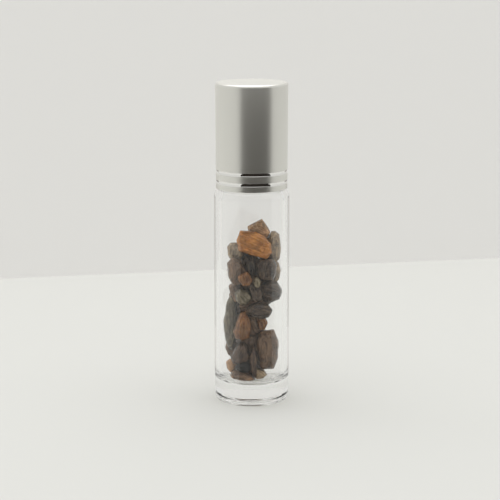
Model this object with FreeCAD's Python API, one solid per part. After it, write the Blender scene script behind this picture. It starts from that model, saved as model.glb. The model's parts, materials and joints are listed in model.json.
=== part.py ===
"""Roll-on bottle: a thick clear glass bottle of stone chips, a roller ball in its neck and a screw cap.

Millimetres, +Z up. The origin is the middle of the base, on the surface that the bottle stands on.
The front of the bottle faces -Y, so an outline drawn in X and Z is what the front shows.
"""

import FreeCAD
import Part

import math
import os
from itertools import combinations

Vector = FreeCAD.Vector
Z_AXIS = Vector(0, 0, 1)

# Glass bottle
BODY_DIAMETER = 20.0
BODY_WALL = 1.6
FLOOR_THICKNESS = 5.2
SHOULDER_HEIGHT = 58.1
HEEL_ROUND = 1.3
SHOULDER_ROUND = 2.4
INNER_HEEL_ROUND = 3.3
SHOULDER_WALL = 1.0
LEDGE_ROUND_SHARE = 0.76
MOUTH_ROUND_SHARE = 0.2
PUNT_DIAMETER = 16.2
PUNT_TOP_DIAMETER = 15.6
PUNT_DEPTH = 1.8
PUNT_ROUND = 0.3
PUNT_TOP_ROUND = 1.2
NECK_HEIGHT = 11.5
NECK_BORE = 11.0
NECK_WALL = 1.6
NECK_LIP_ROUND = 0.4
NECK_ROOT_ROUND = 0.4

# Screw thread between the neck and the cap
THREAD_LEAD = 3.0
THREAD_TURNS = 1.5
THREAD_DEPTH = 0.9
THREAD_ROOT_WIDTH = 1.6
THREAD_CREST_WIDTH = 0.8
THREAD_START_ABOVE_SHOULDER = 2.9
THREAD_RADIAL_GAP = 0.25
THREAD_FLANK_GAP = 0.15
THREAD_SEAT = 0.2

# Roller ball and the housing that is pushed into the neck
BALL_DIAMETER = 9.5
BALL_PLAY = 0.05
BALL_CENTRE_ABOVE_NECK = 2.4
SOCKET_LIP_ABOVE_CENTRE = 1.5
SOCKET_LIP_WALL = 0.6
COLLAR_WALL = 1.4
FLANGE_THICKNESS = 1.2
FLANGE_INSET = 0.2
PLUG_LENGTH = 8.0
PLUG_GAP = 0.2
BEAD_GAP = 0.02
BEAD_WIDTH = 1.2
BEAD_COUNT = 2
BEAD_PITCH = 3.0
BEAD_BELOW_FLANGE = 2.2
SKIRT_WALL = 0.9
SKIRT_DEPTH = 4.4
THROAT_DIAMETER = 6.4
FEED_NOTCHES = 4
FEED_NOTCH_WIDTH = 0.9
FEED_NOTCH_DEPTH = 0.7

# Cap: a drawn metal shell on a moulded liner, with a loose sealing pad over the ball
CAP_RIM_BELOW_SHOULDER = 0.2
CAP_HEIGHT = 28.1
CAP_TAPER = 0.15
SHELL_WALL = 0.4
SHELL_TOP_ROUND = 0.8
BAND_HEIGHTS = (1.9, 4.6)
BAND_WIDTH = 0.9
BAND_DEPTH = 0.1
LINER_WALL = 0.8
LINER_GLUE_GAP = 0.05
LINER_RIM_INSET = 0.4
LINER_WEB = 1.2
PAD_DIAMETER = 10.4
PAD_STEP = 0.5
PAD_THICKNESS = 1.3
PAD_NOSE = 1.1
PAD_BALL_GAP = 0.2
PAD_PLAY = 0.05
POCKET_WALL = 0.9
POCKET_LIP = 0.6

# Stone chips: gaps, and the share of its outline that a chip fills at each share of half its thickness
CHIP_GAP = 0.1
CHIP_GLASS_GAP = 0.1
CHIP_SWELL = ((-1.0, 0.45), (-0.7, 0.82), (-0.2, 1.0), (0.3, 1.0), (0.75, 0.8), (1.0, 0.4))

# Chip outlines in X and Z, as shares of half the width and half the height
PEAK = ((-0.98, 0.35), (-0.85, -0.3), (-0.3, -1.0), (0.6, -0.9), (1.0, -0.2), (0.6, 0.5), (0.25, 1.0))
LOAF = (
    (-1.0, 0.3), (-0.86, -0.4), (-0.25, -0.7), (0.65, -1.0), (1.0, -0.55),
    (0.9, 0.1), (0.6, 0.55), (0.05, 0.95), (-0.8, 1.0),
)
PILLAR = (
    (-1.0, 0.4), (-0.6, -0.6), (0.1, -1.0), (0.8, -0.65),
    (1.0, 0.0), (0.75, 0.8), (0.2, 1.0), (-0.4, 0.95),
)
BLOCK = (
    (-1.0, 0.5), (-0.9, -0.5), (-0.5, -1.0), (0.6, -0.95),
    (0.95, -0.4), (1.0, 0.5), (0.6, 1.0), (-0.6, 0.95),
)
TOOTH = ((-1.0, 0.6), (-0.85, -0.4), (-0.3, -1.0), (0.5, -0.8), (1.0, 0.0), (0.5, 0.75), (-0.4, 1.0))
LENS = (
    (-1.0, 0.1), (-0.6, -0.65), (0.1, -1.0), (0.7, -0.7),
    (1.0, 0.1), (0.6, 0.8), (-0.1, 1.0), (-0.7, 0.7),
)
FLASK = (
    (-1.0, -0.35), (-0.75, -0.85), (0.0, -1.0), (0.7, -0.8),
    (1.0, -0.2), (0.75, 0.6), (0.35, 1.0), (-0.3, 0.9),
)
BEAN = (
    (-0.95, 0.0), (-0.8, -0.5), (-0.3, -0.9), (0.3, -1.0), (0.85, -0.5),
    (1.0, 0.2), (0.7, 0.8), (0.3, 1.0), (-0.4, 0.7),
)

# The room in the bottle is stepped out evenly from its axis to its wall and from its floor to its shoulder.
# Each chip: outline, (width, height, thickness), (x, y, height of its middle) in steps, and yaw in degrees
STEPS_TO_WALL = 84
STEPS_TO_SHOULDER = 519
CHIPS = {
    "stone_peak": (PEAK, (65, 60, 46), (20, 8, 411), 0),
    "stone_amber": (LOAF, (94, 77, 50), (7, -36, 379), 0),
    "stone_right_tall": (PILLAR, (44, 96, 50), (59, 6, 362), 0),
    "stone_left_small": (BLOCK, (46, 48, 44), (-43, -6, 356), 0),
    "stone_left_tall": (TOOTH, (49, 82, 46), (-39, -34, 306), 0),
    "stone_deep_dark": (BLOCK, (52, 62, 42), (-4, -4, 318), 0),
    "stone_right_middle": (BLOCK, (54, 66, 46), (38, -32, 312), 0),
    "stone_right_edge": (LENS, (34, 64, 42), (64, 8, 298), 0),
    "stone_wedge": (PEAK, (41, 42, 30), (-17, -52, 291), 0),
    "stone_sliver": (LENS, (22, 32, 24), (13, -56, 280), 0),
    "stone_tooth": (TOOTH, (44, 46, 34), (-22, -50, 240), 0),
    "stone_dark_middle": (PILLAR, (44, 56, 32), (9, -40, 250), 0),
    "stone_right_lens": (LENS, (66, 62, 48), (49, -18, 249), 0),
    "stone_dark_lens": (LENS, (70, 48, 40), (20, -46, 202), 0),
    "stone_long_bean": (BEAN, (40, 164, 46), (-58, -4, 164), 0),
    "stone_flask": (FLASK, (48, 80, 38), (-24, -46, 160), 0),
    "stone_orange_small": (TOOTH, (34, 44, 34), (27, -18, 162), 0),
    "stone_right_block": (BLOCK, (59, 110, 52), (41, -24, 89), 0),
    "stone_left_low": (LENS, (38, 54, 40), (-56, 16, 84), 0),
    "stone_brown_low": (FLASK, (52, 64, 42), (-29, -42, 84), 0),
    "stone_left_foot": (TOOTH, (32, 39, 34), (-52, -14, 42), 0),
    "stone_black": (LENS, (44, 34, 34), (-22, -48, 47), 0),
    "stone_blade": (PILLAR, (28, 90, 30), (4, -42, 56), 0),
    "stone_floor_left": (LOAF, (72, 42, 64), (-22, -36, 15), 0),
    "stone_floor_right": (TOOTH, (44, 40, 50), (20, -30, 22), 0),
    "stone_core_1": (LENS, (50, 50, 42), (10, 0, 358), 15),
    "stone_core_2": (BLOCK, (68, 62, 46), (24, 0, 266), -10),
    "stone_core_3": (TOOTH, (48, 62, 42), (-38, -8, 244), 0),
    "stone_core_4": (LENS, (78, 64, 46), (-2, -2, 207), 10),
    "stone_core_5": (PILLAR, (58, 64, 44), (2, -6, 154), -15),
    "stone_core_6": (BLOCK, (58, 78, 44), (-3, -5, 91), 10),
    "stone_back_1": (LENS, (74, 48, 50), (-6, 30, 25), 20),
    "stone_back_2": (BLOCK, (56, 56, 50), (32, 32, 68), -15),
    "stone_back_3": (FLASK, (62, 64, 50), (-26, 38, 82), 30),
    "stone_back_4": (TOOTH, (56, 54, 50), (20, 36, 118), 10),
    "stone_back_5": (PILLAR, (62, 70, 52), (-24, 34, 144), -25),
    "stone_back_6": (LENS, (60, 56, 50), (10, 34, 176), 35),
    "stone_back_7": (BLOCK, (62, 64, 50), (-30, 36, 212), 15),
    "stone_back_8": (LOAF, (58, 62, 50), (30, 34, 236), -30),
    "stone_back_9": (TOOTH, (62, 62, 50), (-20, 36, 274), 25),
    "stone_back_10": (FLASK, (60, 68, 50), (34, 36, 298), -10),
    "stone_back_11": (PEAK, (60, 66, 50), (-18, 38, 336), 20),
    "stone_back_12": (LENS, (60, 56, 46), (24, 38, 362), -20),
}

# What follows from the sizes above
BODY_RADIUS = BODY_DIAMETER / 2
BORE_RADIUS = BODY_RADIUS - BODY_WALL
ROOM_HEIGHT = SHOULDER_HEIGHT - SHOULDER_WALL - FLOOR_THICKNESS
STEP_ACROSS = BORE_RADIUS / STEPS_TO_WALL
STEP_UP = ROOM_HEIGHT / STEPS_TO_SHOULDER
NECK_BORE_RADIUS = NECK_BORE / 2
NECK_RADIUS = NECK_BORE_RADIUS + NECK_WALL
NECK_TOP = SHOULDER_HEIGHT + NECK_HEIGHT
THREAD_CREST_RADIUS = NECK_RADIUS + THREAD_DEPTH
THREAD_START = SHOULDER_HEIGHT + THREAD_START_ABOVE_SHOULDER
THREAD_FLANK_SLOPE = (THREAD_ROOT_WIDTH - THREAD_CREST_WIDTH) / THREAD_DEPTH
BALL_RADIUS = BALL_DIAMETER / 2
BALL_CENTRE = NECK_TOP + BALL_CENTRE_ABOVE_NECK
BALL_TOP = BALL_CENTRE + BALL_RADIUS
CAP_RIM = SHOULDER_HEIGHT - CAP_RIM_BELOW_SHOULDER
CAP_TOP = CAP_RIM + CAP_HEIGHT
LINER_BORE_RADIUS = THREAD_CREST_RADIUS + THREAD_RADIAL_GAP
CAP_RIM_RADIUS = LINER_BORE_RADIUS + LINER_WALL + LINER_GLUE_GAP + SHELL_WALL
PAD_RADIUS = PAD_DIAMETER / 2
PAD_BOTTOM = BALL_TOP + PAD_BALL_GAP
PAD_TOP = PAD_BOTTOM + PAD_NOSE + PAD_THICKNESS
WEB_BOTTOM = PAD_TOP + PAD_PLAY
WEB_TOP = WEB_BOTTOM + LINER_WEB


def rounded_edges(corners):
    """Edges of a closed outline. Each corner is (radius, height) or (radius, height, rounding)."""
    points = [Vector(c[0], 0, c[1]) for c in corners]
    roundings = [c[2] if len(c) > 2 else 0.0 for c in corners]
    arrivals, departures, arcs = [], [], []
    for i, point in enumerate(points):
        back = (points[i - 1] - point).normalize()
        ahead = (points[(i + 1) % len(points)] - point).normalize()
        half_angle = back.getAngle(ahead) / 2
        set_back = roundings[i] / math.tan(half_angle)
        arrivals.append(point + back * set_back)
        departures.append(point + ahead * set_back)
        if roundings[i]:
            middle = (back + ahead).normalize()
            centre = point + middle * (roundings[i] / math.sin(half_angle))
            through = centre - middle * roundings[i]
            arcs.append(Part.Arc(arrivals[i], through, departures[i]).toShape())
        else:
            arcs.append(None)
    edges = []
    for i, arc in enumerate(arcs):
        if arc:
            edges.append(arc)
        start, end = departures[i], arrivals[(i + 1) % len(points)]
        edges.append(Part.LineSegment(start, end).toShape())
    return edges


def lathe(corners):
    """Solid of revolution about the Z axis from the corners of its half section."""
    face = Part.Face(Part.Wire(rounded_edges(corners)))
    return face.revolve(Vector(0, 0, 0), Z_AXIS, 360)


def cylinder(radius, bottom, top):
    return Part.makeCylinder(radius, top - bottom, Vector(0, 0, bottom))


def helical_ridge(seat_radius, crest_radius, middle):
    """One thread ridge that climbs right-handed from a height and fades at both ends.

    Its foot is sunk into the wall, and is wider there, so that the flanks keep their slope.
    """
    half_foot = (THREAD_ROOT_WIDTH + THREAD_FLANK_SLOPE * THREAD_SEAT) / 2
    half_crest = THREAD_CREST_WIDTH / 2
    helix = Part.makeHelix(THREAD_LEAD, THREAD_LEAD * THREAD_TURNS, seat_radius)
    section = Part.makePolygon([
        Vector(seat_radius, 0, -half_foot),
        Vector(crest_radius, 0, -half_crest),
        Vector(crest_radius, 0, half_crest),
        Vector(seat_radius, 0, half_foot),
        Vector(seat_radius, 0, -half_foot),
    ])
    ridge = Part.Wire(helix).makePipeShell([section], True, True)
    ridge.translate(Vector(0, 0, middle))
    stands_out = crest_radius > seat_radius
    for turn, low, high in ((0, -1, 0.5), (THREAD_TURNS, -0.5, 1)):
        bottom = middle + THREAD_LEAD * (turn + low)
        top = middle + THREAD_LEAD * (turn + high)
        ridge = ridge.cut(run_out(crest_radius, stands_out, 360 * turn, bottom, top))
    return ridge


def run_out(crest_radius, stands_out, angle, bottom, top):
    """Cutter with an off-centre round face that fades a ridge into its wall over a quarter turn."""
    off_centre = FreeCAD.Rotation(Z_AXIS, angle).multVec(Vector(THREAD_DEPTH + THREAD_SEAT / 2, 0, 0))
    round_face = cylinder(crest_radius, bottom, top)
    if not stands_out:
        round_face.translate(off_centre)
        return round_face
    round_face.translate(off_centre * -1)
    return cylinder(2 * crest_radius, bottom, top).cut(round_face)


def bottle_cavity(gap):
    """The hollow of the bottle, smaller by a gap all round, open through the mouth."""
    ledge = BORE_RADIUS - NECK_BORE_RADIUS
    bore = BORE_RADIUS - gap
    floor = FLOOR_THICKNESS + gap
    ceiling = SHOULDER_HEIGHT - SHOULDER_WALL - gap
    neck = NECK_BORE_RADIUS - gap
    return lathe([
        (0, floor),
        (bore, floor, INNER_HEEL_ROUND - gap),
        (bore, ceiling, ledge * LEDGE_ROUND_SHARE - gap),
        (neck, ceiling, ledge * MOUTH_ROUND_SHARE),
        (neck, NECK_TOP + NECK_WALL),
        (0, NECK_TOP + NECK_WALL),
    ])


def glass_bottle():
    outside = lathe([
        (0, PUNT_DEPTH),
        (PUNT_TOP_DIAMETER / 2, PUNT_DEPTH, PUNT_TOP_ROUND),
        (PUNT_DIAMETER / 2, 0, PUNT_ROUND),
        (BODY_RADIUS, 0, HEEL_ROUND),
        (BODY_RADIUS, SHOULDER_HEIGHT, SHOULDER_ROUND),
        (NECK_RADIUS, SHOULDER_HEIGHT, NECK_ROOT_ROUND),
        (NECK_RADIUS, NECK_TOP, NECK_LIP_ROUND),
        (0, NECK_TOP),
    ])
    ridge = helical_ridge(NECK_RADIUS - THREAD_SEAT, THREAD_CREST_RADIUS, THREAD_START)
    return outside.cut(bottle_cavity(0)).fuse(ridge)


def roller_housing():
    """Moulded fitment: a plug in the neck, a flange on the neck's lip and a socket that holds the ball."""
    plug_radius = NECK_BORE_RADIUS - PLUG_GAP
    plug_bottom = NECK_TOP - PLUG_LENGTH
    flange_radius = NECK_RADIUS - FLANGE_INSET
    flange_top = NECK_TOP + FLANGE_THICKNESS
    socket_radius = BALL_RADIUS + BALL_PLAY
    lip_top = BALL_CENTRE + SOCKET_LIP_ABOVE_CENTRE
    lip_opening = math.sqrt(socket_radius**2 - SOCKET_LIP_ABOVE_CENTRE**2)
    body = lathe([
        (0, plug_bottom),
        (plug_radius, plug_bottom, SKIRT_WALL / 2),
        (plug_radius, NECK_TOP),
        (flange_radius, NECK_TOP, FLANGE_THICKNESS / 4),
        (flange_radius, flange_top, FLANGE_THICKNESS / 4),
        (socket_radius + COLLAR_WALL, flange_top),
        (lip_opening + SOCKET_LIP_WALL, lip_top, SOCKET_LIP_WALL / 2),
        (0, lip_top),
    ])
    for i in range(BEAD_COUNT):
        body = body.fuse(sealing_bead(plug_radius, NECK_TOP - BEAD_BELOW_FLANGE - i * BEAD_PITCH))
    skirt_top = plug_bottom + SKIRT_DEPTH
    hollow = [
        Part.makeSphere(socket_radius, Vector(0, 0, BALL_CENTRE)),
        cylinder(THROAT_DIAMETER / 2, plug_bottom, BALL_CENTRE),
        cylinder(plug_radius - SKIRT_WALL, plug_bottom, skirt_top),
    ]
    return body.cut(hollow[0].fuse(hollow[1:] + feed_notches(skirt_top)))


def sealing_bead(plug_radius, height):
    """A low ring round the plug that fills the gap to the neck's bore."""
    bead_radius = NECK_BORE_RADIUS - BEAD_GAP
    return lathe([
        (plug_radius - SKIRT_WALL / 2, height - BEAD_WIDTH / 2),
        (plug_radius, height - BEAD_WIDTH / 2),
        (bead_radius, height - BEAD_WIDTH / 6),
        (bead_radius, height + BEAD_WIDTH / 6),
        (plug_radius, height + BEAD_WIDTH / 2),
        (plug_radius - SKIRT_WALL / 2, height + BEAD_WIDTH / 2),
    ])


def feed_notches(bottom):
    """Slots in the socket's seat that let oil past the ball."""
    reach = THROAT_DIAMETER / 2 + FEED_NOTCH_DEPTH
    notches = []
    for i in range(FEED_NOTCHES):
        notch = Part.makeBox(reach, FEED_NOTCH_WIDTH, BALL_CENTRE - bottom)
        notch.translate(Vector(0, -FEED_NOTCH_WIDTH / 2, bottom))
        notch.rotate(Vector(0, 0, 0), Z_AXIS, 360 * i / FEED_NOTCHES)
        notches.append(notch)
    return notches


def roller_ball():
    return Part.makeSphere(BALL_RADIUS, Vector(0, 0, BALL_CENTRE))


def cap_radius_at(height):
    """Outer radius of the slightly tapered cap at a height."""
    return CAP_RIM_RADIUS + CAP_TAPER * (height - CAP_RIM) / CAP_HEIGHT


def polished_band(height):
    """Round-nosed tool path that turns one shallow bright groove into the shell."""
    tool_radius = (BAND_WIDTH**2 / 4 + BAND_DEPTH**2) / (2 * BAND_DEPTH)
    reach = cap_radius_at(CAP_RIM + height) - BAND_DEPTH + tool_radius
    return Part.makeTorus(reach, tool_radius, Vector(0, 0, CAP_RIM + height), Z_AXIS)


def cap_shell():
    inner_top = CAP_TOP - SHELL_WALL
    shell = lathe([
        (cap_radius_at(CAP_RIM) - SHELL_WALL, CAP_RIM),
        (cap_radius_at(CAP_RIM), CAP_RIM),
        (cap_radius_at(CAP_TOP), CAP_TOP, SHELL_TOP_ROUND),
        (0, CAP_TOP),
        (0, inner_top),
        (cap_radius_at(inner_top) - SHELL_WALL, inner_top, SHELL_TOP_ROUND - SHELL_WALL),
    ])
    return shell.cut([polished_band(height) for height in BAND_HEIGHTS])


def cap_liner():
    """Moulded cup inside the shell: a threaded skirt, a web over the ball and a collar above it."""
    fit = SHELL_WALL + LINER_GLUE_GAP
    bottom = CAP_RIM + LINER_RIM_INSET
    top = CAP_TOP - SHELL_TOP_ROUND
    pocket_radius = PAD_RADIUS + PAD_PLAY
    lip_bottom = PAD_BOTTOM + PAD_NOSE - PAD_PLAY - POCKET_LIP
    body = lathe([
        (LINER_BORE_RADIUS, bottom),
        (cap_radius_at(bottom) - fit, bottom),
        (cap_radius_at(top) - fit, top),
        (cap_radius_at(top) - fit - LINER_WALL, top),
        (cap_radius_at(WEB_TOP) - fit - LINER_WALL, WEB_TOP),
        (0, WEB_TOP),
        (0, WEB_BOTTOM),
        (pocket_radius, WEB_BOTTOM),
        (pocket_radius, lip_bottom + POCKET_LIP),
        (pocket_radius - PAD_STEP, lip_bottom + POCKET_LIP),
        (pocket_radius - PAD_STEP, lip_bottom),
        (pocket_radius + POCKET_WALL, lip_bottom),
        (pocket_radius + POCKET_WALL, WEB_BOTTOM),
        (LINER_BORE_RADIUS, WEB_BOTTOM),
    ])
    return body.fuse(liner_ridge())


def liner_ridge():
    """Inside thread, which lies against the lower flank of the neck's ridge with a small gap."""
    crest_radius = LINER_BORE_RADIUS - THREAD_DEPTH
    engaged = THREAD_CREST_RADIUS - crest_radius
    below = THREAD_CREST_WIDTH + THREAD_FLANK_SLOPE * engaged / 2 + THREAD_FLANK_GAP
    return helical_ridge(LINER_BORE_RADIUS + THREAD_SEAT, crest_radius, THREAD_START - below)


def sealing_pad():
    """Loose soft disc in the web's pocket. Its step keeps it behind the pocket's lip."""
    step = PAD_BOTTOM + PAD_NOSE
    return lathe([
        (0, PAD_BOTTOM),
        (PAD_RADIUS - PAD_STEP - PAD_PLAY, PAD_BOTTOM),
        (PAD_RADIUS - PAD_STEP - PAD_PLAY, step),
        (PAD_RADIUS, step),
        (PAD_RADIUS, PAD_TOP),
        (0, PAD_TOP),
    ])


def polygon(points):
    return Part.Face(Part.makePolygon(points + points[:1]))


def tumbled_chip(outline, size, place, yaw):
    """A faceted pebble, whose outline is full size in the middle of its thickness and small at both ends."""
    half_width, half_height, half_thickness = (side / 2 for side in size)
    rings = []
    for depth, share in CHIP_SWELL:
        y = depth * half_thickness * STEP_ACROSS
        across = share * half_width * STEP_ACROSS
        up = share * half_height * STEP_UP
        rings.append([Vector(x * across, y, z * up) for x, z in outline])
    faces = [polygon(rings[0]), polygon(rings[-1])]
    for near, far in zip(rings, rings[1:]):
        for i in range(len(outline)):
            faces.append(polygon([near[i - 1], near[i], far[i], far[i - 1]]))
    chip = Part.Solid(Part.Shell(faces))
    chip.rotate(Vector(0, 0, 0), Z_AXIS, yaw)
    x, y, height = place
    chip.translate(Vector(x * STEP_ACROSS, y * STEP_ACROSS, FLOOR_THICKNESS + height * STEP_UP))
    return chip


def half_space(point, normal):
    """A block on the side of a plane that its normal points to, larger than the bottle."""
    side = 2 * CAP_TOP
    block = Part.makeBox(side, side, side, Vector(-side / 2, -side / 2, 0))
    block.Placement = FreeCAD.Placement(point, FreeCAD.Rotation(Z_AXIS, normal))
    return block


def ground_apart(first, second):
    """Two chips with a flat ground on each where they would run into each other, a gap apart."""
    first_corners = [corner.Point for corner in first.Vertexes]
    second_corners = [corner.Point for corner in second.Vertexes]
    meetings = []
    for face in first.Faces + second.Faces:
        normal = face.normalAt(0, 0)
        for direction in (normal, normal * -1):
            first_end = max(direction.dot(corner) for corner in first_corners)
            second_start = min(direction.dot(corner) for corner in second_corners)
            meetings.append((first_end - second_start, (first_end + second_start) / 2, direction))
    depth, height, direction = min(meetings, key=lambda meeting: meeting[0])
    if depth <= -CHIP_GAP:
        return first, second
    first = first.cut(half_space(direction * (height - CHIP_GAP / 2), direction))
    second = second.cut(half_space(direction * (height + CHIP_GAP / 2), direction * -1))
    return first.Solids[0], second.Solids[0]


def stone_chips():
    room = bottle_cavity(CHIP_GLASS_GAP)
    chips = {name: tumbled_chip(*chip) for name, chip in CHIPS.items()}
    for first, second in combinations(chips, 2):
        if chips[first].BoundBox.intersect(chips[second].BoundBox):
            chips[first], chips[second] = ground_apart(chips[first], chips[second])
    return {name: chip.common(room).Solids[0] for name, chip in chips.items()}


def main():
    parts = {
        "glass_bottle": glass_bottle(),
        "roller_housing": roller_housing(),
        "roller_ball": roller_ball(),
        "sealing_pad": sealing_pad(),
        "cap_liner": cap_liner(),
        "cap_shell": cap_shell(),
    }
    parts.update(stone_chips())
    os.makedirs("parts", exist_ok=True)
    for name, shape in parts.items():
        print(name, shape.isValid(), len(shape.Solids), round(shape.Volume, 2))
        shape.exportStep(os.path.join("parts", name + ".step"))


main()
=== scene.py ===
"""A glass roll on bottle of stone chips, modelled over the frame of its solids. Lengths are in metres."""

import json
import math

import bpy
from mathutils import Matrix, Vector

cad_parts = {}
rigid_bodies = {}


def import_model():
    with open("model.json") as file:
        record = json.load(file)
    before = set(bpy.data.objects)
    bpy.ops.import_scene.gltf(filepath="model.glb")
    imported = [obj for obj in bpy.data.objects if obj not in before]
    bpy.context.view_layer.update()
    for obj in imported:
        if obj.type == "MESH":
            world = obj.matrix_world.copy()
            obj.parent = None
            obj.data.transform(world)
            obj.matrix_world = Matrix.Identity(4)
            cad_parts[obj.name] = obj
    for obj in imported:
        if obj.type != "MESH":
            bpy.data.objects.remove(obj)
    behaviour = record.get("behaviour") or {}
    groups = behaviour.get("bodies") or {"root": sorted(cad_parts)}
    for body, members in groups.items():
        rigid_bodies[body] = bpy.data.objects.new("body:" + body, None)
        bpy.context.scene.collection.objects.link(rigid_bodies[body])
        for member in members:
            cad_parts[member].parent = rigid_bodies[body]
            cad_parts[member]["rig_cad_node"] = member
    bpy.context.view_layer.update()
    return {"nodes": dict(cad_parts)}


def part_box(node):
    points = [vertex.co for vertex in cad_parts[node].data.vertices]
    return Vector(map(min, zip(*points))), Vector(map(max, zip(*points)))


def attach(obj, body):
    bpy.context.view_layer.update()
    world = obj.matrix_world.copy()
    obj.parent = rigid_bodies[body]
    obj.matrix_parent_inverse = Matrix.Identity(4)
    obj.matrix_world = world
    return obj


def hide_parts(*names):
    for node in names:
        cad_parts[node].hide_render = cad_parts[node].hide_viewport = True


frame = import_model()

bl_info = {
    "name": "Roll-on Bottle",
    "version": (1, 0, 0),
    "blender": (4, 5, 0),
    "location": "View3D > Sidebar > Roll-on Bottle",
    "description": "Models a clear glass roll-on bottle with a satin aluminium cap and stone chips",
    "category": "Add Mesh",
}

GLASS_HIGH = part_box("glass_bottle")[1]
SHELL_LOW, SHELL_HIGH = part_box("cap_shell")
BALL_LOW, BALL_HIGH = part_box("roller_ball")

LATHE_STEPS = 160
ROUND_SEGMENTS = 6
CARD_STEPS = 24
MERGE_GAP = 1e-7
SAME_PLACE = 1e-6
SMOOTH_ANGLE = math.radians(40)
LIGHT_BOUNCES = 32
GLOSSY_BOUNCES = 16
# Size of the plane that is merged into the first corner of an outline.
SEED_SIZE = 0.001
# Distance between two chips' places in the pattern of the stone.
GRAIN_SPACING = 0.02
# Length of a streak over its width.
STREAK_STRETCH = 6
# Value that the clouds of a chip's hollows seldom fall below.
CLOUD_FLOOR = 0.2
# Share of the free space that one fill chip takes.
FILL_SHARE = 0.4

# The chips of each stone. Those not named are brown.
STONES = {
    "amber": ("amber",),
    "russet": ("wedge", "flask", "orange_small"),
    "tan": ("peak", "left_foot", "back_9"),
    "buff": ("right_tall", "right_edge", "floor_right", "back_4"),
    "sand": ("left_small",),
    "umber": ("blade", "brown_low", "back_1", "back_3", "back_6", "back_8", "back_11"),
    "dark": ("dark_lens", "dark_middle", "deep_dark", "right_middle", "right_lens"),
    "olive": ("long_bean", "tooth", "sliver"),
    "black": ("black",),
}
# Chips behind the others that close the heap's chinks, so they are worn least and rise into free space.
FILL_STONES = ("back_1", "back_3", "back_5", "back_7", "back_8", "back_9", "back_10", "core_1", "core_2")


def linear(hex_colour):
    """Turns an sRGB hex colour into linear red, green and blue with an alpha of one."""
    shares = [int(hex_colour[at : at + 2], 16) / 255 for at in (1, 3, 5)]
    return [s / 12.92 if s <= 0.04045 else ((s + 0.055) / 1.055) ** 2.4 for s in shares] + [1.0]


def length(name, description, default):
    """A length that a user may change."""
    return bpy.props.FloatProperty(
        name=name, description=description, default=default, min=0.0, precision=5, unit="LENGTH"
    )


def angle(name, description, degrees):
    """An angle that a user may change, given in degrees."""
    return bpy.props.FloatProperty(
        name=name, description=description, default=math.radians(degrees), subtype="ANGLE"
    )


def colour(name, description, default):
    """A colour that a user may change, given as sRGB hex."""
    return bpy.props.FloatVectorProperty(
        name=name, description=description, default=linear(default), size=4, min=0.0, max=1.0, subtype="COLOR"
    )


class GlassSettings(bpy.types.PropertyGroup):
    """Sizes and colour of the glass bottle"""

    body_radius: length("Body radius", "Outside radius of the barrel", GLASS_HIGH.x)
    neck_top: length("Neck top", "Height of the neck's lip", GLASS_HIGH.z)
    shoulder_height: length("Shoulder height", "Height of the flat shoulder", 0.0581)
    wall: length("Wall", "Thickness of the barrel's wall", 0.0016)
    floor: length("Floor", "Thickness of the base", 0.0052)
    ceiling: length("Ceiling", "Height of the inside under the shoulder", 0.0571)
    neck_radius: length("Neck radius", "Outside radius of the neck", 0.0071)
    neck_bore: length("Neck bore", "Inside radius of the neck", 0.0055)
    heel_round: length("Heel round", "Rounding of the base's outer edge", 0.0013)
    shoulder_round: length("Shoulder round", "Rounding of the shoulder's outer edge", 0.0024)
    inner_heel_round: length("Inner heel round", "Rounding where the inner floor meets the wall", 0.0033)
    ledge_round: length("Ledge round", "Rounding where the inner wall meets the shoulder", 0.0022)
    mouth_round: length("Mouth round", "Rounding of the neck bore's lower edge", 0.00058)
    root_round: length("Neck root round", "Rounding where the neck meets the shoulder", 0.0004)
    lip_round: length("Lip round", "Rounding of the neck's lip", 0.0004)
    punt_radius: length("Punt radius", "Radius of the push-up's mouth in the base", 0.0081)
    punt_top_radius: length("Punt top radius", "Radius of the push-up's flat top", 0.0078)
    punt_depth: length("Punt depth", "Depth of the push-up in the base", 0.0018)
    punt_round: length("Punt round", "Rounding of the push-up's mouth", 0.0003)
    punt_top_round: length("Punt top round", "Rounding of the push-up's top", 0.0012)
    thread_start: length("Thread start", "Height of the thread's lower end", 0.061)
    thread_lead: length("Thread lead", "Rise of the thread in one turn", 0.003)
    thread_depth: length("Thread depth", "Height of the ridge over the neck", 0.0009)
    thread_root: length("Thread root", "Width of the ridge at the neck", 0.0016)
    thread_crest: length("Thread crest", "Width of the ridge at its crest", 0.0008)
    thread_turns: bpy.props.FloatProperty(
        name="Thread turns", description="Turns of the ridge", default=1.5, min=0.5
    )
    tint: colour("Tint", "Colour that clear soda-lime glass gives to light", "#FEFEFE")
    straight: colour("Straight light", "Colour of the light that goes straight through a wall", "#FCFCFB")


class CapSettings(bpy.types.PropertyGroup):
    """Sizes and colours of the cap"""

    rim_height: length("Rim height", "Height of the cap's open end", SHELL_LOW.z)
    top_height: length("Top height", "Height of the cap's closed end", SHELL_HIGH.z)
    rim_radius: length("Rim radius", "Outside radius at the rim", 0.0095)
    top_radius: length("Top radius", "Outside radius at the top", 0.00965)
    wall: length("Wall", "Thickness of the drawn metal", 0.0004)
    top_round: length("Top round", "Rounding of the top's edge", 0.0008)
    inner_round: length("Inner round", "Rounding inside the top's edge", 0.0004)
    band_low: length("Lower band", "Height of the lower polished band over the rim", 0.0019)
    band_high: length("Upper band", "Height of the upper polished band over the rim", 0.0046)
    band_width: length("Band width", "Width of a polished band", 0.0009)
    band_depth: length("Band depth", "Depth of a polished band", 0.0001)
    satin: colour("Satin metal", "Reflected colour of the satin aluminium", "#EAE9E4")
    polished: colour("Polished metal", "Reflected colour of the bright-cut aluminium", "#F2F1EF")
    liner: colour("Liner", "Colour of the liner's plastic", "#EDEDE8")
    pad: colour("Pad", "Colour of the sealing pad's foam", "#F2F1EC")


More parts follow.
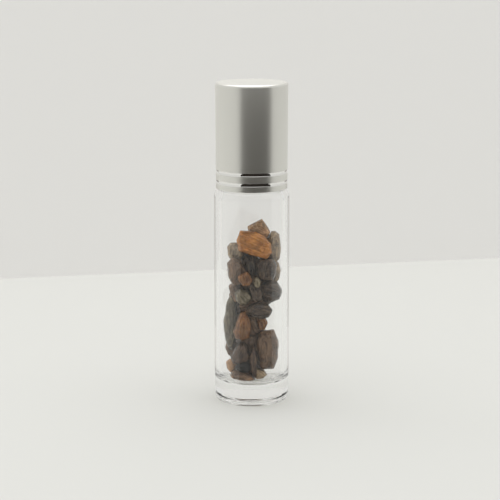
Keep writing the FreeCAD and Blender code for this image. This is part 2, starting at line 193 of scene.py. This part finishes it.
class RollerSettings(bpy.types.PropertyGroup):
    """Sizes and colours of the roller"""

    ball_radius: length("Ball radius", "Radius of the ball", (BALL_HIGH.z - BALL_LOW.z) / 2)
    ball_height: length("Ball height", "Height of the ball's centre", (BALL_HIGH.z + BALL_LOW.z) / 2)
    steel: colour("Steel", "Reflected colour of the polished steel", "#D9D8D6")
    housing: colour("Housing", "Colour of the housing's plastic", "#EEEFEE")


class StoneSettings(bpy.types.PropertyGroup):
    """Finish of the stone chips"""

    cell: length("Cell", "Spacing of the corners on a chip's skin", 0.00025)
    wear: bpy.props.IntProperty(
        name="Wear", description="Rounds of tumbling that wear the edges", default=1, min=1
    )
    hollow_size: length("Hollow size", "Size of the shallow hollows", 0.0022)
    hollow_depth: length("Hollow depth", "Depth of the shallow hollows", 0.0003)
    least_depth: length("Least hollow depth", "Depth of the hollows in the fill chips", 0.00005)
    bulge: length("Bulge", "How far a chip's skin may rise into the gap beside it", 0.000045)
    fill: length("Fill", "How far a fill chip's skin may rise into wide free space", 0.0003)
    fill_gap: length("Fill gap", "Gap to the next piece at which a fill chip no longer rises", 0.0001)
    streak: length("Streak", "Width of the fibres' streaks", 0.0005)
    patch: length("Patch", "Size of the lighter and darker patches", 0.0022)
    amber: colour("Amber", "Colour of the amber chip", "#8A5422")
    amber_band: colour("Amber streaks", "Colour of the amber chip's streaks", "#BA7F40")
    russet: colour("Russet", "Colour of the russet chips", "#5A361C")
    russet_band: colour("Russet streaks", "Colour of the russet chips' streaks", "#88603A")
    tan: colour("Tan", "Colour of the lighter brown chips", "#835F43")
    tan_band: colour("Tan streaks", "Colour of the lighter brown chips' streaks", "#B89570")
    buff: colour("Buff", "Colour of the greyish brown chips", "#63503C")
    buff_band: colour("Buff streaks", "Colour of the greyish brown chips' streaks", "#9A866A")
    sand: colour("Sand", "Colour of the palest chip", "#6B5A46")
    sand_band: colour("Sand streaks", "Colour of the palest chip's streaks", "#A08D75")
    umber: colour("Umber", "Colour of the darker brown chips", "#2E2017")
    umber_band: colour("Umber streaks", "Colour of the darker brown chips' streaks", "#584537")
    brown: colour("Brown", "Colour of the brown chips", "#463325")
    brown_band: colour("Brown streaks", "Colour of the brown chips' streaks", "#7A604A")
    dark: colour("Dark", "Colour of the dark chips", "#221710")
    dark_band: colour("Dark streaks", "Colour of the dark chips' streaks", "#5A4A3C")
    olive: colour("Olive", "Colour of the olive chips", "#40382A")
    olive_band: colour("Olive streaks", "Colour of the olive chips' streaks", "#746A57")
    black: colour("Black", "Colour of the black chip", "#060505")
    black_band: colour("Black streaks", "Colour of the black chip's streaks", "#1C1916")


class StageSettings(bpy.types.PropertyGroup):
    """Floor, wall, cards, light and camera"""

    floor_size: length("Floor size", "Side of the floor", 3.0)
    floor_drop: length("Floor drop", "Gap between the base and the floor", 0.00005)
    wall_distance: length("Wall distance", "Distance of the wall behind the bottle", 0.172)
    wall_height: length("Wall height", "Height of the wall", 0.34)
    wall_turn: angle("Wall turn", "Angle of the wall to the view", 11.4)
    floor: colour("Floor", "Colour of the floor", "#D2D2CF")
    wall: colour("Wall", "Colour of the wall", "#F1F0EF")
    surround: colour("Surround", "Colour of the room", "#DDDDDA")
    card: colour("Dark card", "Colour of the card that darkens the front of the metal", "#2E2A27")
    back_card: colour("Grey card", "Colour of the card that greys the edges of the glass", "#B4B0AD")
    card_near: length("Card start", "Distance at which a card starts on the floor", 0.03)
    card_reach: length("Card distance", "Distance at which a card stands up", 0.085)
    card_lift: length("Card lift", "Height of a card over the floor", 0.0005)
    card_height: length("Dark card height", "Height of the card in front", 0.088)
    card_start: angle("Dark card start", "Angle at which the card in front starts", 236)
    card_sweep: angle("Dark card sweep", "Angle that the card in front takes up", 94)
    back_card_height: length("Grey card height", "Height of the card behind", 0.046)
    back_card_start: angle("Grey card start", "Angle at which the card behind starts", 45)
    back_card_sweep: angle("Grey card sweep", "Angle that the card behind takes up", 90)
    fill: bpy.props.FloatProperty(
        name="Fill", description="Share of the room's light on matt surfaces", default=1.01, min=0.0
    )
    lamp: bpy.props.FloatProperty(
        name="Lamp", description="Power of the lamp", default=7.2, min=0.0, unit="POWER"
    )
    lamp_size: length("Lamp size", "Side of the square lamp", 1.3)
    lamp_place: bpy.props.FloatVectorProperty(
        name="Lamp place", description="Place of the lamp", default=(-0.07, 0.15, 0.9), subtype="TRANSLATION"
    )
    camera_distance: length("Camera distance", "Distance of the camera in front of the bottle", 0.45)
    camera_height: length("Camera height", "Height of the camera", 0.13)
    camera_aside: bpy.props.FloatProperty(
        name="Camera aside", description="Place of the camera to the side", default=-0.00045, unit="LENGTH"
    )
    camera_pitch: angle("Camera pitch", "Angle of the camera downwards", 11.2)
    lens: bpy.props.FloatProperty(
        name="Lens", description="Focal length of the lens", default=123.2, min=1.0, unit="CAMERA"
    )
    sensor: bpy.props.FloatProperty(
        name="Sensor", description="Width of the camera's sensor", default=36.0, min=1.0, unit="CAMERA"
    )


def add_node(tree, kind, settings=(), **inputs):
    """Adds a node with its settings; an input is a value, or another node's output that is linked to it."""
    node = tree.nodes.new(kind)
    for key, value in dict(settings).items():
        setattr(node, key, value)
    for key, value in inputs.items():
        socket = node.inputs[key.replace("_", " ")]
        if isinstance(value, bpy.types.NodeSocket):
            tree.links.new(value, socket)
        else:
            socket.default_value = value
    return node


def new_material(name):
    """Makes a material with no nodes."""
    material = bpy.data.materials.new(name)
    material.use_nodes = True
    material.node_tree.nodes.clear()
    return material


def clear_glass(glass):
    """Moulded soda-lime glass."""
    # Fire-polished by the mould's heat: with no haze, it shows what is behind it and only its edges are dark.
    material = new_material("moulded_soda_lime_glass")
    tree = material.node_tree
    shader = add_node(
        tree,
        "ShaderNodeBsdfPrincipled",
        Base_Color=glass.tint,
        Roughness=0.0,
        IOR=1.51,
        Transmission_Weight=1.0,
    )
    # Light on its way to what stands in or under the glass goes straight through, and no dark shadow falls.
    path = add_node(tree, "ShaderNodeLightPath")
    lit = add_node(tree, "ShaderNodeMath", {"operation": "MAXIMUM"})
    tree.links.new(path.outputs["Is Shadow Ray"], lit.inputs[0])
    tree.links.new(path.outputs["Is Diffuse Ray"], lit.inputs[1])
    clear = add_node(tree, "ShaderNodeBsdfTransparent", Color=glass.straight)
    mixed = add_node(tree, "ShaderNodeMixShader", Fac=lit.outputs[0])
    tree.links.new(shader.outputs[0], mixed.inputs[1])
    tree.links.new(clear.outputs[0], mixed.inputs[2])
    add_node(tree, "ShaderNodeOutputMaterial", Surface=mixed.outputs[0])
    return material


def satin_aluminium(base):
    """Satin anodised aluminium."""
    # Etched before anodising: reflections are spread, and a haze over them keeps the darkest ones grey.
    material = new_material("satin_anodised_aluminium")
    tree = material.node_tree
    satin = add_node(tree, "ShaderNodeBsdfPrincipled", Base_Color=base, Metallic=1.0, Roughness=0.32)
    haze = add_node(tree, "ShaderNodeBsdfPrincipled", Base_Color=base, Metallic=1.0, Roughness=0.85)
    shader = add_node(tree, "ShaderNodeMixShader", Fac=0.26)
    tree.links.new(satin.outputs[0], shader.inputs[1])
    tree.links.new(haze.outputs[0], shader.inputs[2])
    add_node(tree, "ShaderNodeOutputMaterial", Surface=shader.outputs[0])
    return material


def bright_metal(name, base, roughness):
    """A metal cut or polished to a mirror."""
    # Diamond cut or tumbled smooth: it mirrors the room in sharp light and dark.
    material = new_material(name)
    tree = material.node_tree
    shader = add_node(tree, "ShaderNodeBsdfPrincipled", Base_Color=base, Metallic=1.0, Roughness=roughness)
    add_node(tree, "ShaderNodeOutputMaterial", Surface=shader.outputs[0])
    return material


def moulded_plastic(name, base, roughness):
    """Injection moulded polyolefin, or its foam."""
    # A soft, slightly waxy plastic: light goes a little way in, so its shadows are pale.
    material = new_material(name)
    tree = material.node_tree
    shader = add_node(
        tree,
        "ShaderNodeBsdfPrincipled",
        Base_Color=base,
        Roughness=roughness,
        IOR=1.49,
        Subsurface_Weight=0.15,
        Subsurface_Scale=0.0006,
    )
    add_node(tree, "ShaderNodeOutputMaterial", Surface=shader.outputs[0])
    return material


def tumbled_stone(name, base, streak_colour, stones):
    """Tumbled quartz with fibres."""
    # Tumbling leaves a polish on an uneven face, and the fibres show as fine streaks and cloudy patches.
    material = new_material(name)
    tree = material.node_tree
    grain = add_node(tree, "ShaderNodeAttribute", {"attribute_name": "grain"}).outputs["Vector"]
    # Real fibres are too fine to show, so the streaks are drawn as coarse as they need to be.
    streaks_per_metre = 1 / stones.streak
    stretch = (streaks_per_metre, streaks_per_metre, streaks_per_metre / STREAK_STRETCH)
    stretched = add_node(tree, "ShaderNodeMapping", Vector=grain, Scale=stretch)
    streaks = add_node(
        tree, "ShaderNodeTexNoise", Vector=stretched.outputs[0], Scale=1.0, Detail=4.0, Distortion=0.8
    )
    patches = add_node(tree, "ShaderNodeTexNoise", Vector=grain, Scale=1 / stones.patch, Detail=4.0)
    share = add_node(tree, "ShaderNodeMapRange", Value=streaks.outputs["Fac"], From_Min=0.38, From_Max=0.68)
    shade = add_node(
        tree,
        "ShaderNodeMapRange",
        Value=patches.outputs["Fac"],
        From_Min=0.3,
        From_Max=0.7,
        To_Min=0.5,
        To_Max=1.3,
    )
    # Paler edges are partly frosted by tumbling and partly a painted highlight; the dents are darkened from
    # the mesh's pointiness as painted shade.
    bend = add_node(tree, "ShaderNodeNewGeometry").outputs["Pointiness"]
    wear_and_painted_shade = add_node(
        tree, "ShaderNodeMapRange", Value=bend, From_Min=0.455, From_Max=0.555, To_Min=0.55, To_Max=1.65
    )
    level = add_node(tree, "ShaderNodeMath", {"operation": "MULTIPLY"})
    tree.links.new(shade.outputs[0], level.inputs[0])
    tree.links.new(wear_and_painted_shade.outputs[0], level.inputs[1])
    skin = add_node(tree, "ShaderNodeMixRGB", Fac=share.outputs[0], Color1=base, Color2=streak_colour)
    # The colour is scaled by the random patches and by the pointiness, which adds edge wear, painted
    # highlight and painted shade.
    cloudy_and_painted_shade = add_node(
        tree, "ShaderNodeVectorMath", {"operation": "SCALE"}, Vector=skin.outputs[0], Scale=level.outputs[0]
    )
    relief = add_node(
        tree, "ShaderNodeBump", Height=patches.outputs["Fac"], Distance=stones.hollow_depth, Strength=1.0
    )
    shader = add_node(
        tree,
        "ShaderNodeBsdfPrincipled",
        Base_Color=cloudy_and_painted_shade.outputs[0],
        Roughness=0.25,
        IOR=1.54,
        Specular_IOR_Level=0.3,
        Normal=relief.outputs[0],
    )
    add_node(tree, "ShaderNodeOutputMaterial", Surface=shader.outputs[0])
    return material


def plain_surface(name, base, one_sided):
    """Matt paper or paint of the stage."""
    # A matt surface with no gloss; one that stands behind the object is seen from its front only.
    material = new_material(name)
    tree = material.node_tree
    shader = add_node(tree, "ShaderNodeBsdfDiffuse", Color=base)
    if one_sided:
        side = add_node(tree, "ShaderNodeNewGeometry")
        clear = add_node(tree, "ShaderNodeBsdfTransparent")
        mixed = add_node(tree, "ShaderNodeMixShader", Fac=side.outputs["Backfacing"])
        tree.links.new(shader.outputs[0], mixed.inputs[1])
        tree.links.new(clear.outputs[0], mixed.inputs[2])
        shader = mixed
    add_node(tree, "ShaderNodeOutputMaterial", Surface=shader.outputs[0])
    return material


def select_only(piece):
    """Selects one object and makes it the active one."""
    bpy.ops.object.select_all(action="DESELECT")
    piece.select_set(True)
    bpy.context.view_layer.objects.active = piece


def select_corners(test):
    """In edit mode, selects the corners whose number and place pass the test."""
    piece = bpy.context.edit_object
    bpy.ops.mesh.select_mode(type="VERT")
    bpy.ops.mesh.select_all(action="DESELECT")
    bpy.ops.object.mode_set(mode="OBJECT")
    for vertex in piece.data.vertices:
        vertex.select = test(vertex.index, vertex.co)
    bpy.ops.object.mode_set(mode="EDIT")


def draw_outline(name, corners):
    """Extrudes a wire through corners of radius, height and rounding, rounds it and stays in edit mode."""
    bpy.ops.object.select_all(action="DESELECT")
    bpy.ops.mesh.primitive_plane_add(size=SEED_SIZE)
    piece = bpy.context.object
    piece.name = name
    piece.data.name = name
    bpy.ops.object.mode_set(mode="EDIT")
    bpy.ops.mesh.select_all(action="SELECT")
    bpy.ops.mesh.merge(type="CENTER")
    bpy.ops.transform.translate(value=(corners[0][0], 0, corners[0][1]))
    for before, after in zip(corners, corners[1:]):
        step = (after[0] - before[0], 0, after[1] - before[1])
        bpy.ops.mesh.extrude_region_move(TRANSFORM_OT_translate={"value": step})
    for radius, height, rounding in corners:
        if rounding:
            select_corners(
                lambda _, place: abs(place.x - radius) < SAME_PLACE and abs(place.z - height) < SAME_PLACE
            )
            bpy.ops.mesh.bevel(
                offset=rounding, segments=ROUND_SEGMENTS, affect="VERTICES", offset_type="OFFSET"
            )
    return piece


def close_mesh():
    """In edit mode, merges doubles and turns all faces outwards, then leaves edit mode."""
    bpy.ops.mesh.select_all(action="SELECT")
    bpy.ops.mesh.remove_doubles(threshold=MERGE_GAP)
    bpy.ops.mesh.normals_make_consistent(inside=False)
    bpy.ops.object.mode_set(mode="OBJECT")


def lathe(name, corners):
    """Spins a rounded outline about the upright axis into a closed piece."""
    piece = draw_outline(name, corners)
    bpy.ops.mesh.select_all(action="SELECT")
    bpy.ops.mesh.spin(steps=LATHE_STEPS, angle=math.tau, center=(0, 0, 0), axis=(0, 0, 1))
    close_mesh()
    return piece


def apply_modifier(piece, kind, **settings):
    """Adds a modifier and applies it."""
    select_only(piece)
    modifier = piece.modifiers.new(kind.lower(), kind)
    for key, value in settings.items():
        setattr(modifier, key, value)
    bpy.ops.object.modifier_apply(modifier=modifier.name)


def smooth(piece):
    """Shades a piece smooth, with flat walls kept flat beside their rounded edges."""
    select_only(piece)
    bpy.ops.object.shade_smooth_by_angle(angle=SMOOTH_ANGLE)
    apply_modifier(piece, "WEIGHTED_NORMAL", keep_sharp=True)


def fit(piece, node, body, material):
    """Puts a finished piece in the place of its solid."""
    piece.data.materials.clear()
    piece.data.materials.append(material)
    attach(piece, body)
    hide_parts(node)


def thread_ridge(glass):
    """Winds the neck's thread as a ridge that fades into the neck at both ends."""
    # The ridge's foot lies inside the neck's wall, so that the two join.
    foot = glass.neck_radius - glass.thread_depth / 4
    crest = glass.neck_radius + glass.thread_depth
    low = glass.thread_start
    half_root = glass.thread_root / 2
    half_crest = glass.thread_crest / 2
    crest_round = glass.thread_crest / 3
    outline = [
        (foot, low - half_root, 0),
        (crest, low - half_crest, crest_round),
        (crest, low + half_crest, crest_round),
        (foot, low + half_root, 0),
    ]
    ridge = draw_outline("thread_ridge", outline)
    select_corners(lambda _, place: abs(place.x - foot) < SAME_PLACE)
    bpy.ops.mesh.edge_face_add()
    bpy.ops.object.mode_set(mode="OBJECT")
    ring = len(ridge.data.vertices)
    rings = int(LATHE_STEPS * glass.thread_turns)
    apply_modifier(
        ridge,
        "SCREW",
        angle=math.tau * glass.thread_turns,
        screw_offset=glass.thread_lead * glass.thread_turns,
        steps=rings,
        render_steps=rings,
        use_merge_vertices=False,
    )
    last = len(ridge.data.vertices) // ring - 1
    # Over the first and the last quarter turn the ridge sinks until its ends lie inside the neck's wall.
    fade = LATHE_STEPS // 4
    sunk = (glass.neck_radius - glass.thread_depth / 8) / crest
    bpy.ops.object.mode_set(mode="EDIT")
    for at in range(fade):
        share = math.cos(at / fade * math.pi / 2) ** 2
        size = 1 - (1 - sunk) * share
        for number in (at, last - at):
            select_corners(lambda index, _: index // ring == number)
            bpy.ops.transform.resize(value=(size, size, 1), center_override=(0, 0, 0))
            if at == 0:
                bpy.ops.mesh.edge_face_add()
    close_mesh()
    return ridge


class ROLLON_OT_glass_bottle(bpy.types.Operator):
    """Lathes the glass bottle and joins its thread to the neck"""

    bl_idname = "rollon.glass_bottle"
    bl_label = "Glass bottle"

    def execute(self, context):
        glass = context.scene.rollon_glass
        bore = glass.body_radius - glass.wall
        corners = [
            (0, glass.punt_depth, 0),
            (glass.punt_top_radius, glass.punt_depth, glass.punt_top_round),
            (glass.punt_radius, 0, glass.punt_round),
            (glass.body_radius, 0, glass.heel_round),
            (glass.body_radius, glass.shoulder_height, glass.shoulder_round),
            (glass.neck_radius, glass.shoulder_height, glass.root_round),
            (glass.neck_radius, glass.neck_top, glass.lip_round),
            (glass.neck_bore, glass.neck_top, glass.lip_round),
            (glass.neck_bore, glass.ceiling, glass.mouth_round),
            (bore, glass.ceiling, glass.ledge_round),
            (bore, glass.floor, glass.inner_heel_round),
            (0, glass.floor, 0),
        ]
        bottle = lathe("glass_bottle_moulded", corners)
        ridge = thread_ridge(glass)
        apply_modifier(bottle, "BOOLEAN", operation="UNION", object=ridge, solver="EXACT")
        bpy.data.objects.remove(ridge)
        smooth(bottle)
        fit(bottle, "glass_bottle", "bottle", clear_glass(glass))
        return {"FINISHED"}


class ROLLON_OT_roller_housing(bpy.types.Operator):
    """Gives the roller housing its plastic"""

    bl_idname = "rollon.roller_housing"
    bl_label = "Roller housing"

    def execute(self, context):
        roller = context.scene.rollon_roller
        plastic = moulded_plastic("moulded_polyethylene_housing", roller.housing, roughness=0.35)
        node = frame["nodes"]["roller_housing"]
        node.data.materials.clear()
        node.data.materials.append(plastic)
        return {"FINISHED"}


class ROLLON_OT_roller_ball(bpy.types.Operator):
    """Lathes the steel ball"""

    bl_idname = "rollon.roller_ball"
    bl_label = "Roller ball"

    def execute(self, context):
        roller = context.scene.rollon_roller
        turns = [math.tau * at / LATHE_STEPS for at in range(LATHE_STEPS // 2 + 1)]
        corners = [
            (roller.ball_radius * math.sin(turn), roller.ball_height - roller.ball_radius * math.cos(turn), 0)
            for turn in turns
        ]
        ball = lathe("roller_ball_polished", corners)
        select_only(ball)
        bpy.ops.object.shade_smooth()
        steel = bright_metal("tumble_polished_steel", roller.steel, roughness=0.06)
        fit(ball, "roller_ball", "ball", steel)
        return {"FINISHED"}


class ROLLON_OT_cap_shell(bpy.types.Operator):
    """Lathes the aluminium shell and cuts its two polished bands"""

    bl_idname = "rollon.cap_shell"
    bl_label = "Cap shell"

    def execute(self, context):
        cap = context.scene.rollon_cap
        taper = (cap.top_radius - cap.rim_radius) / (cap.top_height - cap.rim_height)
        bands = [cap.rim_height + cap.band_low, cap.rim_height + cap.band_high]
        rim_round = cap.wall / 4
        outside = [(cap.rim_radius, cap.rim_height, rim_round)]
        for middle in bands:
            for at in range(-ROUND_SEGMENTS, ROUND_SEGMENTS + 1):
                share = at / ROUND_SEGMENTS
                height = middle + share * cap.band_width / 2
                radius = cap.rim_radius + taper * (height - cap.rim_height)
                outside.append((radius - cap.band_depth * (1 - share * share), height, 0))
        outside.append((cap.top_radius, cap.top_height, cap.top_round))
        inside = [
            (0, cap.top_height - cap.wall, 0),
            (cap.top_radius - cap.wall, cap.top_height - cap.wall, cap.inner_round),
            (cap.rim_radius - cap.wall, cap.rim_height, rim_round),
        ]
        shell = lathe("cap_shell_drawn", inside + outside + [(0, cap.top_height, 0)])
        smooth(shell)
        fit(shell, "cap_shell", "cap", satin_aluminium(cap.satin))
        shell.data.materials.append(bright_metal("bright_cut_aluminium", cap.polished, roughness=0.03))
        for face in shell.data.polygons:
            outer = math.hypot(face.center.x, face.center.y) > cap.rim_radius - cap.wall / 2
            if outer and any(abs(face.center.z - middle) < cap.band_width / 2 for middle in bands):
                face.material_index = 1
        return {"FINISHED"}


class ROLLON_OT_cap_inside(bpy.types.Operator):
    """Gives the liner its plastic and the pad its foam"""

    bl_idname = "rollon.cap_inside"
    bl_label = "Cap liner and pad"

    def execute(self, context):
        cap = context.scene.rollon_cap
        finishes = {
            "cap_liner": (
                "liner_plastic",
                moulded_plastic("moulded_polypropylene_liner", cap.liner, roughness=0.4),
            ),
            "sealing_pad": (
                "pad_foam",
                moulded_plastic("die_cut_polyethylene_foam", cap.pad, roughness=0.75),
            ),
        }
        for name, (slot, material) in finishes.items():
            node = frame["nodes"][name]
            node.data.materials.clear()
            node.data.materials.append(material)
        return {"FINISHED"}


def tumble(node, stones, depth):
    """Copies a stone's solid, wears its edges round as tumbling does and sinks shallow hollows into it."""
    select_only(node)
    bpy.ops.object.duplicate()
    chip = bpy.context.object
    chip.name = node.name + "_tumbled"
    chip.data.name = chip.name
    del chip["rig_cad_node"]
    bpy.ops.object.mode_set(mode="EDIT")
    bpy.ops.mesh.select_all(action="SELECT")
    bpy.ops.mesh.customdata_custom_splitnormals_clear()
    bpy.ops.mesh.remove_doubles(threshold=SAME_PLACE)
    bpy.ops.object.mode_set(mode="OBJECT")
    apply_modifier(chip, "REMESH", mode="VOXEL", voxel_size=stones.cell)
    apply_modifier(chip, "SMOOTH", factor=0.5, iterations=stones.wear)
    hollows = bpy.data.textures.new("chipped_hollows", "CLOUDS")
    hollows.noise_scale = stones.hollow_size
    hollows.noise_depth = 2
    # The clouds seldom fall below their floor, so the skin rises by about the bulge at most.
    level = CLOUD_FLOOR + stones.bulge / depth
    apply_modifier(
        chip, "DISPLACE", texture=hollows, texture_coords="LOCAL", strength=-depth, mid_level=level
    )
    bpy.data.textures.remove(hollows)
    bpy.ops.object.mode_set(mode="EDIT")
    close_mesh()
    select_only(chip)
    bpy.ops.object.shade_smooth()
    return chip


def swell(chip, name, stones):
    """Lets a chip's skin rise into the free space around it, and stay put where another piece is near."""
    bpy.ops.object.select_all(action="DESELECT")
    copies = []
    for other, node in frame["nodes"].items():
        if other == "glass_bottle" or (other.startswith("stone_") and other != name):
            copies.append(node.data.copy())
            solid = bpy.data.objects.new(other + "_copy", copies[-1])
            solid.matrix_world = node.matrix_world
            bpy.context.collection.objects.link(solid)
            solid.select_set(True)
            bpy.context.view_layer.objects.active = solid
    bpy.ops.object.join()
    around = bpy.context.object
    room = chip.vertex_groups.new(name="room")
    room.add(range(len(chip.data.vertices)), 1.0, "REPLACE")
    # Each chip takes less than half of the space beyond the gap, so two that rise don't meet.
    apply_modifier(
        chip,
        "VERTEX_WEIGHT_PROXIMITY",
        vertex_group="room",
        target=around,
        proximity_mode="GEOMETRY",
        proximity_geometry={"FACE"},
        min_dist=stones.fill_gap,
        max_dist=stones.fill_gap + stones.fill / FILL_SHARE,
    )
    apply_modifier(chip, "DISPLACE", vertex_group="room", strength=stones.fill, mid_level=0.0)
    chip.vertex_groups.clear()
    for mesh in copies:
        bpy.data.meshes.remove(mesh)


def mark_grain(chip, number):
    """Keeps on a chip the place of each corner in the stone's pattern, with the fibres along the chip."""
    places = [vertex.co for vertex in chip.data.vertices]
    middle = sum(places, places[0] * 0) / len(places)
    spread = [place - middle for place in places]
    lean = sum(2 * s.x * s.z for s in spread)
    stretch = sum(s.z * s.z - s.x * s.x for s in spread)
    turn = math.atan2(lean, stretch) / 2
    grain = chip.data.attributes.new("grain", "FLOAT_VECTOR", "POINT")
    for item, (x, y, z) in zip(grain.data, spread):
        across = x * math.cos(turn) - z * math.sin(turn)
        along = x * math.sin(turn) + z * math.cos(turn)
        item.vector = (across + number * GRAIN_SPACING, y, along)


class ROLLON_OT_stone_chips(bpy.types.Operator):
    """Tumbles each stone chip from its solid and gives it its stone"""

    bl_idname = "rollon.stone_chips"
    bl_label = "Stone chips"

    def execute(self, context):
        stones = context.scene.rollon_stones
        materials = {
            kind: tumbled_stone(
                "tumbled_%s_quartz" % kind, getattr(stones, kind), getattr(stones, kind + "_band"), stones
            )
            for kind in (*STONES, "brown")
        }
        kinds = {"stone_" + name: kind for kind, names in STONES.items() for name in names}
        fill_stones = ["stone_" + name for name in FILL_STONES]
        names = sorted(name for name in frame["nodes"] if name.startswith("stone_"))
        for number, name in enumerate(names):
            kind = kinds.get(name, "brown")
            if name in fill_stones:
                chip = tumble(frame["nodes"][name], stones, stones.least_depth)
                swell(chip, name, stones)
            else:
                chip = tumble(frame["nodes"][name], stones, stones.hollow_depth)
            mark_grain(chip, number)
            fit(chip, name, "bottle", materials[kind])
        return {"FINISHED"}


def add_card(name, corners, start, sweep, shade):
    """Bends a card round the bottle that shows in reflections only."""
    card = draw_outline(name, corners)
    bpy.ops.mesh.select_all(action="SELECT")
    bpy.ops.transform.rotate(value=-start, orient_axis="Z", center_override=(0, 0, 0))
    bpy.ops.mesh.select_all(action="SELECT")
    bpy.ops.mesh.spin(steps=CARD_STEPS, angle=-sweep, center=(0, 0, 0), axis=(0, 0, 1))
    bpy.ops.object.mode_set(mode="OBJECT")
    card.data.materials.append(plain_surface(name, shade, one_sided=False))
    card.visible_camera = False
    card.visible_transmission = False
    card.visible_diffuse = False
    card.visible_shadow = False


def add_lamp(stage):
    """Hangs a square soft lamp and points it at the bottle's foot."""
    bpy.ops.object.select_all(action="DESELECT")
    bpy.ops.object.light_add(type="AREA", location=stage.lamp_place)
    lamp = bpy.context.object
    lamp.name = "soft_lamp_above"
    lamp.data.size = stage.lamp_size
    lamp.data.energy = stage.lamp
    lamp.rotation_euler = lamp.location.to_track_quat("Z", "Y").to_euler()


def light_room(scene, stage):
    """Surrounds the stage with an even pale room."""
    world = bpy.data.worlds.new("pale_room")
    scene.world = world
    world.use_nodes = True
    tree = world.node_tree
    tree.nodes.clear()
    path = add_node(tree, "ShaderNodeLightPath")
    level = add_node(
        tree, "ShaderNodeMapRange", Value=path.outputs["Is Diffuse Ray"], To_Min=1.0, To_Max=stage.fill
    )
    light = add_node(tree, "ShaderNodeBackground", Color=stage.surround, Strength=level.outputs[0])
    add_node(tree, "ShaderNodeOutputWorld", Surface=light.outputs[0])


def set_camera(scene, stage):
    """Sets the camera in front of the bottle, a little above it."""
    bpy.ops.object.camera_add(
        location=(stage.camera_aside, -stage.camera_distance, stage.camera_height),
        rotation=(math.pi / 2 - stage.camera_pitch, 0, 0),
    )
    camera = bpy.context.object
    camera.data.sensor_width = stage.sensor
    camera.data.lens = stage.lens
    scene.camera = camera


class ROLLON_OT_stage(bpy.types.Operator):
    """Sets the floor, the wall, the cards, the light and the camera"""

    bl_idname = "rollon.stage"
    bl_label = "Stage"

    def execute(self, context):
        scene = context.scene
        stage = scene.rollon_stage
        bpy.ops.object.select_all(action="DESELECT")
        bpy.ops.mesh.primitive_plane_add(size=stage.floor_size, location=(0, 0, -stage.floor_drop))
        floor = bpy.context.object
        floor.name = "floor"
        floor.data.materials.append(plain_surface("matt_white_board", stage.floor, one_sided=False))
        bpy.ops.mesh.primitive_plane_add(
            size=stage.wall_height,
            location=(0, stage.wall_distance, stage.wall_height / 2 - stage.floor_drop),
            rotation=(math.pi / 2, 0, stage.wall_turn),
        )
        wall = bpy.context.object
        wall.name = "wall"
        wall.data.materials.append(plain_surface("matt_wall_paint", stage.wall, one_sided=True))
        # The lamp reaches past the wall, which would otherwise keep part of its light off the floor.
        wall.visible_shadow = False
        lift = stage.card_lift
        reach = stage.card_reach
        front = [(stage.card_near, lift, 0), (reach, lift, 0), (reach, stage.card_height, 0)]
        add_card("dark_card_in_front", front, stage.card_start, stage.card_sweep, stage.card)
        back = [(stage.card_near, lift, 0), (reach, lift, 0), (reach, stage.back_card_height, 0)]
        add_card("grey_card_behind", back, stage.back_card_start, stage.back_card_sweep, stage.back_card)
        add_lamp(stage)
        light_room(scene, stage)
        set_camera(scene, stage)
        scene.view_settings.view_transform = "Standard"
        scene.cycles.max_bounces = LIGHT_BOUNCES
        scene.cycles.glossy_bounces = GLOSSY_BOUNCES
        scene.cycles.transmission_bounces = LIGHT_BOUNCES
        return {"FINISHED"}


class ROLLON_PT_panel(bpy.types.Panel):
    """Lists the pieces of the bottle"""

    bl_idname = "ROLLON_PT_panel"
    bl_label = "Roll-on Bottle"
    bl_space_type = "VIEW_3D"
    bl_region_type = "UI"
    bl_category = "Roll-on Bottle"

    def draw(self, context):
        for operator in OPERATORS:
            self.layout.operator(operator.bl_idname)
        for name in SETTINGS:
            box = self.layout.box()
            settings = getattr(context.scene, name)
            for key in settings.__annotations__:
                box.prop(settings, key)


SETTINGS = {
    "rollon_glass": GlassSettings,
    "rollon_cap": CapSettings,
    "rollon_roller": RollerSettings,
    "rollon_stones": StoneSettings,
    "rollon_stage": StageSettings,
}

OPERATORS = (
    ROLLON_OT_glass_bottle,
    ROLLON_OT_roller_housing,
    ROLLON_OT_roller_ball,
    ROLLON_OT_cap_shell,
    ROLLON_OT_cap_inside,
    ROLLON_OT_stone_chips,
    ROLLON_OT_stage,
)


def register():
    """Registers the settings, the operators and the panel."""
    for name, kind in SETTINGS.items():
        bpy.utils.register_class(kind)
        setattr(bpy.types.Scene, name, bpy.props.PointerProperty(type=kind))
    for kind in (*OPERATORS, ROLLON_PT_panel):
        bpy.utils.register_class(kind)


def unregister():
    """Takes back what register did."""
    for kind in (ROLLON_PT_panel, *reversed(OPERATORS)):
        bpy.utils.unregister_class(kind)
    for name, kind in SETTINGS.items():
        delattr(bpy.types.Scene, name)
        bpy.utils.unregister_class(kind)


def main():
    """Builds every piece and the stage."""
    register()
    bpy.ops.rollon.glass_bottle()
    bpy.ops.rollon.roller_housing()
    bpy.ops.rollon.roller_ball()
    bpy.ops.rollon.cap_shell()
    bpy.ops.rollon.cap_inside()
    bpy.ops.rollon.stone_chips()
    bpy.ops.rollon.stage()


if __name__ == "__main__":
    main()
